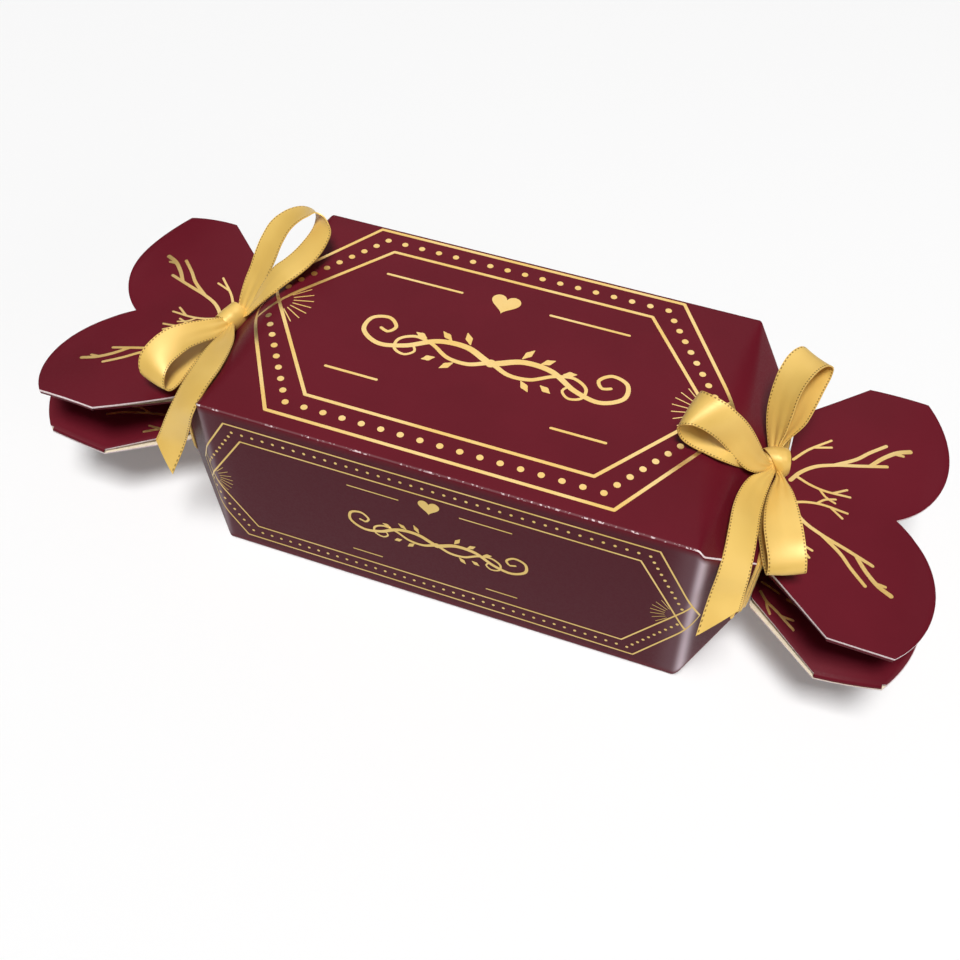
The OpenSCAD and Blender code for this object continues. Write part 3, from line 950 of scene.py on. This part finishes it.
# both edges of each strand, row by row from its knot
bowEdges = {
    "left_far_loop": [
        ((-58.4, 0.9, 34.4), (-56.6, 0, 34.9)), ((-57.8, 2.1, 35.2), (-54.9, 0.9, 36)),
        ((-58.1, 4.5, 36.8), (-53.6, 2.2, 37.6)), ((-58.2, 7.3, 38.6), (-52.9, 4.7, 39.4)),
        ((-58, 10.2, 40.5), (-52.4, 7.4, 41.5)), ((-57.9, 13.1, 42.6), (-52, 10.4, 43.4)),
        ((-57.5, 16.1, 44.6), (-51.8, 13.7, 45.4)), ((-56.5, 19.2, 46.4), (-50.9, 16.5, 47.4)),
        ((-54.2, 22.1, 47.6), (-49.2, 18.2, 49)), ((-52, 23.9, 47.8), (-47.9, 19.4, 49.6)),
        ((-50.2, 24.8, 47.2), (-46.8, 20.5, 50)), ((-48.7, 24.2, 46.8), (-45, 20.5, 49.6)),
        ((-47.8, 22.2, 46.4), (-42.8, 18.8, 48.6)), ((-47.5, 19.8, 46), (-42.1, 17.4, 47.8)),
        ((-47.9, 17, 45.3), (-42.2, 14.3, 46.5)), ((-48.8, 13.9, 44.5), (-43.1, 10.9, 45.3)),
        ((-50, 11.2, 43.8), (-44.5, 7.8, 44.4)), ((-51.6, 9, 42.9), (-46.4, 4.8, 43.5)),
        ((-52.9, 5.5, 40.6), (-49.1, 2.2, 41.4)), ((-54.5, 2.9, 37.1), (-52.1, 0.6, 38.5)),
        ((-56.2, 1.3, 34.7), (-54.4, -0.4, 36.1)), ((-57.8, 0.7, 34.1), (-56.6, -0.4, 35)),
    ],
    "left_near_loop": [
        ((-58.4, -0.3, 34.9), (-57, -1.5, 34.3)), ((-58.2, -2, 36.1), (-56, -3.9, 35.1)),
        ((-59.1, -4.8, 37.7), (-56.6, -7.5, 35.9)), ((-61, -7.5, 38.8), (-58.5, -10.4, 36.4)),
        ((-63.1, -9.8, 39.4), (-60.3, -13.2, 36.6)), ((-65.2, -12.2, 39.5), (-61.2, -15.8, 36.5)),
        ((-66.8, -14.9, 39), (-61.9, -18.1, 36.2)), ((-68, -17.6, 37.9), (-62.1, -19.9, 35.7)),
        ((-68.5, -19.2, 36.6), (-62, -21.4, 34.8)), ((-68.3, -20.4, 35.2), (-61.9, -22.1, 33.6)),
        ((-67.5, -21.2, 33.9), (-61.6, -22.4, 32.7)), ((-66.8, -20.4, 33.1), (-60.9, -21.8, 32.1)),
        ((-66.1, -17.6, 32.9), (-60.3, -19.4, 31.9)), ((-65.8, -13.6, 33), (-60.2, -15.8, 32)),
        ((-64.6, -9.2, 33.2), (-59.9, -11.1, 32.4)), ((-62.2, -4.8, 33.7), (-58.8, -6.3, 33.1)),
        ((-59.4, -1.4, 34.4), (-57.1, -3.1, 34)), ((-58.8, -0.1, 34.3), (-57.4, -1.2, 34.1)),
    ],
    "left_tail": [
        ((-58, -1.4, 34.5), (-56.5, -2, 35.3)), ((-56.6, -5.3, 35.9), (-53.9, -6.2, 37.1)),
        ((-56.1, -10.1, 37.6), (-51.4, -10.9, 39)), ((-55.7, -14.5, 38.9), (-49.5, -16.3, 40.9)),
        ((-55.2, -19.9, 39.6), (-48.6, -21.1, 41.8)), ((-55.1, -25.2, 39.2), (-48.5, -27, 41.9)),
        ((-55.9, -27.9, 37), (-49.3, -30.9, 39.4)), ((-57.2, -29.9, 33.7), (-50.7, -31.6, 34.9)),
        ((-58.7, -31.2, 29.9), (-52.5, -32.2, 29.7)), ((-59.2, -32, 28.7), (-54.4, -35.7, 24.1)),
    ],
    "right_body_loop": [
        ((56.9, 0.2, 35.1), (57.7, 0.3, 34.2)), ((56.4, -1.2, 36.3), (57.6, -0.9, 35)),
        ((55.6, -2, 37.9), (56.3, -3.6, 36)), ((54.7, -2.7, 39.8), (54.5, -5.9, 37.4)),
        ((53.6, -3.4, 42.3), (52.5, -7.2, 38.9)), ((52.2, -4, 45.1), (50.3, -7.6, 40.9)),
        ((50.8, -4.6, 47.6), (48.2, -7.6, 43)), ((49.3, -5.1, 49.6), (46.5, -8, 45)),
        ((47.7, -5.3, 51), (44.7, -8.6, 46.9)), ((45.9, -5, 51.9), (42.9, -9.1, 48.2)),
        ((44, -4.6, 52.3), (41, -9.3, 48.8)), ((42, -3.7, 52), (39.6, -9.5, 48.6)),
        ((40.8, -2.6, 51), (38.7, -9.1, 47.6)), ((40.5, -1.8, 49.4), (38.5, -8.8, 46.2)),
        ((41.3, -1.7, 47.6), (39.4, -9, 44.4)), ((43.5, -2.3, 45.6), (41.3, -9.2, 43.3)),
        ((45.6, -2.6, 44.4), (43, -9.3, 42.9)), ((48, -3.4, 43.8), (45.3, -9.8, 42.8)),
        ((50.2, -4.1, 43.1), (47.6, -10.1, 42.6)), ((52.3, -3.8, 41.4), (49.8, -8.7, 40.7)),
        ((54.2, -2.8, 38.8), (52.1, -6.4, 38.2)), ((55.6, -1.9, 36.8), (54.7, -4.4, 36.4)),
        ((56.6, -0.7, 35.5), (57.3, -1.1, 34.9)), ((57, 0.4, 34.7), (57.5, 0.2, 34.3)),
    ],
    "right_far_loop": [
        ((56.7, 1.4, 33.9), (57.7, 1.4, 35.4)), ((56, 2.8, 34.6), (57.6, 2.7, 37)),
        ((54.9, 5, 36.4), (58, 4.1, 39.2)), ((53.9, 6.9, 38.6), (58.2, 5.9, 41.8)),
        ((53.3, 8.8, 41), (58.3, 7.9, 44.2)), ((53.2, 11, 43.6), (58.7, 9.6, 46.4)),
        ((53.5, 13.5, 46), (59.5, 11.2, 48)), ((54.5, 16.6, 47.6), (60.6, 13.1, 48.8)),
        ((56.4, 19.3, 47.8), (62, 15, 48.6)), ((57.8, 19.7, 46.9), (63.1, 15.9, 47.5)),
        ((57.9, 18.7, 45.2), (63.3, 15.4, 46)), ((57.6, 16.1, 42.4), (62.7, 12.8, 44)),
        ((57.3, 12.8, 39.3), (61.9, 9.3, 41.9)), ((57.3, 9.8, 36.6), (61, 6.9, 39.8)),
        ((56.8, 7.4, 34.6), (59.5, 5.4, 37.8)), ((57, 5, 33.5), (58.3, 4.2, 36.1)),
        ((57.1, 2.2, 33.5), (57.9, 1.7, 35.2)),
    ],
    "right_near_loop": [
        ((57.4, 0.1, 34), (58.5, -1.2, 35.1)), ((58.4, -2.7, 34.6), (60.1, -4.8, 36.2)),
        ((57.7, -7.8, 35.4), (61.7, -8.6, 37.8)), ((57.6, -13, 36.1), (63.2, -12.5, 38.3)),
        ((58.1, -17.1, 36.2), (64.5, -16.1, 38.2)), ((59.2, -20.4, 35.6), (65.6, -19.2, 37.6)),
        ((60.2, -22.7, 34.6), (66.5, -21.4, 36.4)), ((60.7, -24.1, 33.3), (67, -22.5, 35.1)),
        ((60.7, -24.2, 32), (67.2, -22.7, 33.8)), ((59.9, -22.1, 31.6), (66.3, -21.1, 33.2)),
        ((58.6, -18.4, 31.9), (64.9, -17.4, 33.3)), ((57.6, -14.7, 32.2), (63.3, -13.7, 33.6)),
        ((57.4, -9.4, 32.4), (61.7, -9.8, 34.4)), ((58, -4.9, 32.8), (60.2, -5.9, 35)),
        ((58.4, -1.9, 33.5), (59.6, -3.5, 35.3)), ((57.5, 0.3, 33.7), (58.3, -0.8, 34.8)),
    ],
    "right_tail": [
        ((56.6, -1, 35.2), (57.9, -0.1, 34.4)), ((55.9, -4.5, 36.9), (57.9, -3.1, 35.5)),
        ((53.5, -8, 38.2), (57.5, -6.7, 36.2)), ((52.2, -12.3, 39), (57.1, -10.6, 36.6)),
        ((51.7, -17.2, 39.6), (56.9, -15.1, 37.2)), ((51.9, -22.2, 39.7), (57.1, -19.4, 37.5)),
        ((52.2, -26.6, 38), (57.5, -23.6, 36.2)), ((52.2, -29.3, 34.8), (57.8, -26.9, 33.6)),
        ((52, -31.2, 30.5), (57.9, -28.9, 30.7)), ((51.8, -36.5, 24.8), (58, -30.9, 28.8)),
    ],
    "right_under_tail": [
        ((55.6, -25, 34.4), (57.2, -24.5, 34.2)), ((55.9, -28.2, 31.4), (57.5, -27.6, 31.2)),
        ((56.1, -30.4, 28.9), (57.5, -29.6, 28.9)), ((56.9, -31.9, 26.6), (57.2, -31.6, 26.9)),
    ],
}
# node, how many of the strand's ends are in the knot, and where its pleats start
strands = (
    ("left_far_loop", 2, 0.4), ("left_near_loop", 2, 1.1), ("left_tail", 1, 2.2),
    ("right_body_loop", 2, 0.0), ("right_far_loop", 2, 1.7), ("right_near_loop", 2, 0.8),
    ("right_tail", 1, 2.6),
)


def unit(v):
    return v / np.maximum(np.linalg.norm(v, axis=-1, keepdims=True), 1e-9)


def wayAlong(line):
    return np.concatenate([[0], np.cumsum(np.linalg.norm(np.diff(line, axis=0), axis=1))])


def pairedLines(rows, n):
    # both edges at the same share of the way
    line = curveThrough([(*a, *b) for a, b in rows], ribbon["step"] / 2)
    d = wayAlong((line[:, :3] + line[:, 3:]) / 2)
    at = np.linspace(0, d[-1], n)
    even = np.stack([np.interp(at, d, line[:, k]) for k in range(6)], -1)
    return even[:, :3], even[:, 3:]


def finishRibbon(obj, nodes):
    dress(obj, [satin], "box", nodes)
    applyModifier(obj, "SOLIDIFY", thickness=ribbon["thick"] * mm, offset=0, use_even_offset=True)
    smooth(obj, ribbon["smooth"])


def makeStrand(name, nodes, knotEnds, phase=0.0, crown=ribbon["crown"]):
    # a ribbon between two edge lines; it is gathered in pleats towards its knot
    rows = bowEdges[name]
    n = int(wayAlong(np.array(rows).mean(1))[-1] / ribbon["step"]) + 2
    a, b = pairedLines(rows, n)
    middle, wide = (a + b) / 2, b - a
    reach = wayAlong(middle)
    normal = unit(np.cross(np.gradient(middle, axis=0), wide))
    fade = np.exp(-reach / ribbon["pleatRun"])
    if knotEnds == 2:
        fade = fade + np.exp(-(reach[-1] - reach) / ribbon["pleatRun"])

    def row(u):
        return np.rint(u * (n - 1)).astype(int)

    def place(u, v):
        i, q = row(u), 2 * v - 1
        wave = np.cos(q * ribbon["pleatTurns"] * math.pi + phase)
        wave = wave * (1 - ribbon["pleatThin"] * q * q)
        lift = crown * (1 - q * q) * (1 - ribbon["crownLost"] * np.minimum(fade[i], 1))
        lift = lift + ribbon["pleat"] * fade[i] * wave
        return middle[i] + wide[i] * (q / 2)[:, None] + normal[i] * lift[:, None]

    def weave(u, v):
        return np.stack([reach[row(u)] * mm, 2 * v - 1], -1)

    obj = gridSheet(pieceName(name), n - 1, ribbon["across"], place, weave)
    finishRibbon(obj, nodes)


for node, knotEnds, phase in strands:
    makeStrand(node, [node], knotEnds, phase)
# the second end of the right bow, which shows under its tail
makeStrand("right_under_tail", [], 1, crown=ribbon["underCrown"])
print("bows made")

# wide is the wrap's width at its far and its near side, and lean its shift along the axis at the
# near side
knots = {
    "left": {
        "at": (-57.65, -0.7, 34.7), "axis": (0.36, 0.92, 0.14), "r": (2.3, 2.4),
        "wide": (4.9, 4.9), "bulge": 0.16, "lean": 0.0,
    },
    "right": {
        "at": (57.6, 0.2, 34.9), "axis": (0.94, 0.33, 0.03), "r": (2.4, 2.6),
        "wide": (4.7, 1.9), "bulge": 0.4, "lean": 1.2,
    },
}
# farTurn is the angle of the wrap's far side; a pleat of the core is its depth, count and start;
# weave is the length of ribbon round it, and how near to its edges the ribbon's weave is drawn
knotShape = {
    "farTurn": 142, "edgePower": 2.4, "ripple": 0.02, "rippleTurns": 2.4, "rippleSway": 1.2,
    "coreR": 0.94, "coreLong": 0.62, "corePower": 4, "twist": 0.9, "least": 1e-4,
    "pleats": ((0.05, 3, 0.7), (0.045, 5, 2.1)),
    "columns": 64, "wrapRows": 20, "coreRows": 24, "seam": 0.005, "weave": (16, 0.8),
}


def ringWeave(length, edge):
    return lambda u, v: np.stack([u * length * mm, edge * (2 * v - 1)], -1)


def makeKnot(hand):
    k, shape = knots[hand], knotShape
    axis = unit(np.array(k["axis"]))
    flat = unit(np.cross(axis, [0, 0, 1]))
    up = np.cross(flat, axis)

    def ringAt(a, rFlat, rUp, along):
        ring = flat * (rFlat * np.cos(a))[:, None] + up * (rUp * np.sin(a))[:, None]
        return np.array(k["at"]) + ring + axis * along[:, None]

    def wrap(u, v):
        # the turn of ribbon over the knot: a barrel with its edges drawn in
        a, q = 2 * math.pi * u, 2 * v - 1
        far = (1 + np.cos(a - math.radians(shape["farTurn"]))) / 2
        wide = k["wide"][1] + (k["wide"][0] - k["wide"][1]) * far
        ripple = np.cos(q * shape["rippleTurns"] * math.pi + shape["rippleSway"] * np.sin(a))
        grow = k["bulge"] * (1 - np.abs(q) ** shape["edgePower"]) + shape["ripple"] * ripple
        return ringAt(a, k["r"][0] + grow, k["r"][1] + grow, q * wide / 2 + k["lean"] * (1 - far))

    def core(u, v):
        # the gathered strands inside it, in uneven twisted pleats
        a, q = 2 * math.pi * u, 2 * v - 1
        turn = a + shape["twist"] * q
        pleats = 1
        for deep, count, start in shape["pleats"]:
            pleats = pleats + deep * np.cos(count * turn + start)
        r = np.sqrt(np.maximum(1 - q ** shape["corePower"], 0)) * pleats + shape["least"]
        r = r * shape["coreR"]
        return ringAt(a, k["r"][0] * r, k["r"][1] * r, q * k["wide"][0] * shape["coreLong"])

    weave = ringWeave(*shape["weave"])
    for name, place, rows in (("Knot", wrap, "wrapRows"), ("KnotCore", core, "coreRows")):
        obj = gridSheet(hand + name, shape["columns"], shape[rows], place, weave)
        closeSeams(obj, shape["seam"])
        if name == "Knot":
            finishRibbon(obj, [hand + "_knot"])
        else:
            dress(obj, [satin], "box")
            smooth(obj, ribbon["smooth"])


# from and to are along x; the band is drawn together in ridges, and its edges dip to the card
band = {
    "from": 58.9, "to": 60.1, "off": 0.3, "corner": 1.4, "ridge": 0.16, "ridges": 5,
    "edgeDip": 0.25, "edgePower": 4, "rows": 18, "seam": 0.005, "weave": (110, 0.85),
}


def makeBand(side, hand):
    def place(u, v):
        x = side * (band["from"] + v * (band["to"] - band["from"]))
        dip = band["edgeDip"] * np.abs(2 * v - 1) ** band["edgePower"]
        off = band["off"] + band["ridge"] * np.cos(v * band["ridges"] * math.pi) - dip
        y, z = tubeSection(x, u, off, band["corner"])[:2]
        return np.stack([x, y, z], -1)

    obj = gridSheet(hand + "NeckBand", around, band["rows"], place, ringWeave(*band["weave"]))
    closeSeams(obj, band["seam"])
    finishRibbon(obj, [hand + "_neck_band"])


for side, hand in hands.items():
    makeKnot(hand)
    makeBand(side, hand)
print("knots and bands made")

# glow is how much of the floor's white is its own where the camera sees it, and mirrored where
# gloss does; lamps are in metres and watts
stageSet = {
    "size": 6, "below": 0.0002, "roughness": 0.9,
    "floor": rgb(0.98, 0.98, 0.98), "bounce": rgb(0.62, 0.62, 0.62), "white": rgb(1, 1, 1),
    "glow": 0.16, "mirrored": 0.95, "worldLight": 0.05, "aim": (0, 0, 0.02),
}
lamps = (
    ("keyLight", (0.45, -2.16, 6.36), 2.25, 438.0), ("backPanel", (-0.17, 0.80, 1.0), 1.4, 6.3),
    ("sidePanel", (0.75, -0.35, 0.22), 0.5, 1.0), ("frontPanel", (0.25, -0.75, 0.95), 0.45, 0.5),
)


def makeFloor():
    bpy.ops.object.select_all(action="DESELECT")
    bpy.ops.mesh.primitive_plane_add(size=stageSet["size"], location=(0, 0, -stageSet["below"]))
    floor = bpy.context.object
    floor.name = "floor"
    mat, shader, start = newMaterial("paleFloor")
    shader.inputs["Roughness"].default_value = stageSet["roughness"]
    shader.inputs["Specular IOR Level"].default_value = 0.0
    toCamera = start.node("LightPath", out="Is Camera Ray")
    feed(shader, "Base Color", toCamera.mixColour(stageSet["bounce"], stageSet["floor"]))
    toGloss = toCamera.sibling("Is Glossy Ray")
    own = toCamera * stageSet["glow"] + toGloss * stageSet["mirrored"]
    glow = start.node("Emission", {}, {"Color": stageSet["white"], "Strength": 1.0})
    lit = Wire(start.tree, shader.outputs[0])
    blend = start.node("MixShader", {}, {0: own, 1: lit, 2: glow})
    feed(start.tree.nodes["Material Output"], "Surface", blend)
    floor.data.materials.append(mat)
    floor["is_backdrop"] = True


def makeLight():
    world = bpy.context.scene.world or bpy.data.worlds.new("studio")
    bpy.context.scene.world = world
    world.use_nodes = True
    background = world.node_tree.nodes["Background"]
    background.inputs["Color"].default_value = stageSet["white"]
    toCamera = Wire(world.node_tree).node("LightPath", out="Is Camera Ray")
    low = stageSet["worldLight"]
    feed(background, "Strength", toCamera * (1 - low) + low)
    for name, place, size, power in lamps:
        bpy.ops.object.light_add(type="AREA", location=place)
        lamp = bpy.context.object
        lamp.name = name
        lamp.data.energy, lamp.data.size = power, size
        # the panel behind is only there for the card and foil to mirror
        lamp.visible_diffuse = name != "backPanel"
        way = Vector(stageSet["aim"]) - Vector(place)
        lamp.rotation_euler = way.to_track_quat("-Z", "Y").to_euler()


# angles in degrees, far and shift in millimetres, focal length in pixels of the image
photoCamera = {
    "turn": 17.37, "rise": 51.05, "roll": 2.52, "far": 243.25, "shift": (-1.26, 2.85),
    "focal": 1070.77, "image": 960, "sensor": 36, "clip": (0.01, 20),
}


def makeCamera():
    data = bpy.data.cameras.new("photoCamera")
    cam = bpy.data.objects.new("photoCamera", data)
    bpy.context.scene.collection.objects.link(cam)
    a, e, r = (math.radians(photoCamera[key]) for key in ("turn", "rise", "roll"))
    back = Vector((math.sin(a) * math.cos(e), -math.cos(a) * math.cos(e), math.sin(e)))
    right = Vector((math.cos(a), math.sin(a), 0))
    up = back.cross(right)
    right, up = math.cos(r) * right + math.sin(r) * up, -math.sin(r) * right + math.cos(r) * up
    shiftX, shiftY = photoCamera["shift"]
    at = (back * photoCamera["far"] + right * shiftX + up * shiftY) * mm
    cam.matrix_world = Matrix.Translation(at) @ Matrix((right, up, back)).transposed().to_4x4()
    data.sensor_width = photoCamera["sensor"]
    data.lens = photoCamera["sensor"] * photoCamera["focal"] / photoCamera["image"]
    data.clip_start, data.clip_end = photoCamera["clip"]
    bpy.context.scene.camera = cam


makeFloor()
makeLight()
makeCamera()
bpy.context.scene.view_settings.view_transform = "Standard"
print("floor, light and camera made")

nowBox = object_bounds()
for word, box in (("cad", cadBox), ("now", nowBox)):
    print(word, [round(x * 1000, 1) for v in box for x in v])
